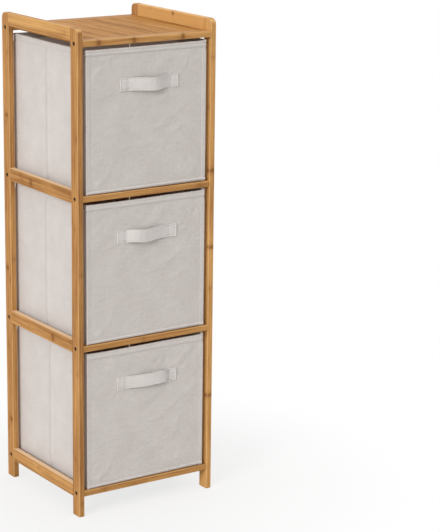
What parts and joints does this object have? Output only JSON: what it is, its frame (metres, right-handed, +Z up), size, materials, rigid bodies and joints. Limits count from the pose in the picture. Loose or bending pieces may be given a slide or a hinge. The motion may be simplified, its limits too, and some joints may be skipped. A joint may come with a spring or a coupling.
{
  "type": "storage shelf with fabric baskets",
  "caption": "Narrow free-standing bamboo shelf, its slatted top between raised side boards, with cube-shaped fabric baskets on open levels that pull out by a front strap.",
  "frame": {"origin": "on the floor under the middle of the whole part's box", "axes": "+X to the right, the front with the straps faces -Y, +Z up"},
  "size_m": [0.316, 0.3078, 0.978],
  "materials": {
    "bamboo": "clear satin lacquer",
    "dowel_wood": "plain",
    "screw_steel": "dark zinc",
    "grey_fabric": "fine plain weave",
    "tape_fabric": "fine plain weave",
    "lining_fabric": "non-woven",
    "grey_board": "plain"
  },
  "bodies": {
    "frame": {"post_front_left": "bamboo", "post_front_right": "bamboo", "post_back_left": "bamboo", "post_back_right": "bamboo", "side_rail_left_1": "bamboo", "side_rail_left_2": "bamboo", "side_rail_left_3": "bamboo", "top_board_left": "bamboo", "side_rail_right_1": "bamboo", "side_rail_right_2": "bamboo", "side_rail_right_3": "bamboo", "top_board_right": "bamboo", "cross_rail_front_1": "bamboo", "cross_rail_front_2": "bamboo", "cross_rail_front_3": "bamboo", "cross_rail_front_4": "bamboo", "cross_rail_back_1": "bamboo", "cross_rail_back_2": "bamboo", "cross_rail_back_3": "bamboo", "cross_rail_back_4": "bamboo", "top_slat_1": "bamboo", "top_slat_2": "bamboo", "top_slat_3": "bamboo", "top_slat_4": "bamboo", "top_slat_5": "bamboo", "top_slat_6": "bamboo", "top_slat_7": "bamboo", "top_slat_8": "bamboo", "frame_screws": "screw_steel", "side_dowels": "dowel_wood"},
    "basket_1": {"basket_1_fabric": "grey_fabric", "basket_1_lining": "lining_fabric", "basket_1_rim_tape": "tape_fabric", "basket_1_board_front": "grey_board", "basket_1_board_back": "grey_board", "basket_1_boards_left": "grey_board", "basket_1_boards_right": "grey_board", "basket_1_strap": "grey_fabric"},
    "basket_1_insert": {"basket_1_base_insert": "grey_fabric"},
    "basket_2": {"basket_2_fabric": "grey_fabric", "basket_2_lining": "lining_fabric", "basket_2_rim_tape": "tape_fabric", "basket_2_board_front": "grey_board", "basket_2_board_back": "grey_board", "basket_2_boards_left": "grey_board", "basket_2_boards_right": "grey_board", "basket_2_strap": "grey_fabric"},
    "basket_2_insert": {"basket_2_base_insert": "grey_fabric"},
    "basket_3": {"basket_3_fabric": "grey_fabric", "basket_3_lining": "lining_fabric", "basket_3_rim_tape": "tape_fabric", "basket_3_board_front": "grey_board", "basket_3_board_back": "grey_board", "basket_3_boards_left": "grey_board", "basket_3_boards_right": "grey_board", "basket_3_strap": "grey_fabric"},
    "basket_3_insert": {"basket_3_base_insert": "grey_fabric"}
  },
  "joints": [
    {"name": "basket_1_pull", "type": "slide", "parent": "frame", "child": "basket_1", "axis": [0, -1, 0], "range_m": [0, 0.29]},
    {"name": "basket_1_insert_lift", "type": "slide", "parent": "basket_1", "child": "basket_1_insert", "axis": [0, 0, 1], "range_m": [0, 0.25]},
    {"name": "basket_2_pull", "type": "slide", "parent": "frame", "child": "basket_2", "axis": [0, -1, 0], "range_m": [0, 0.29]},
    {"name": "basket_2_insert_lift", "type": "slide", "parent": "basket_2", "child": "basket_2_insert", "axis": [0, 0, 1], "range_m": [0, 0.25]},
    {"name": "basket_3_pull", "type": "slide", "parent": "frame", "child": "basket_3", "axis": [0, -1, 0], "range_m": [0, 0.29]},
    {"name": "basket_3_insert_lift", "type": "slide", "parent": "basket_3", "child": "basket_3_insert", "axis": [0, 0, 1], "range_m": [0, 0.25]}
  ]
}
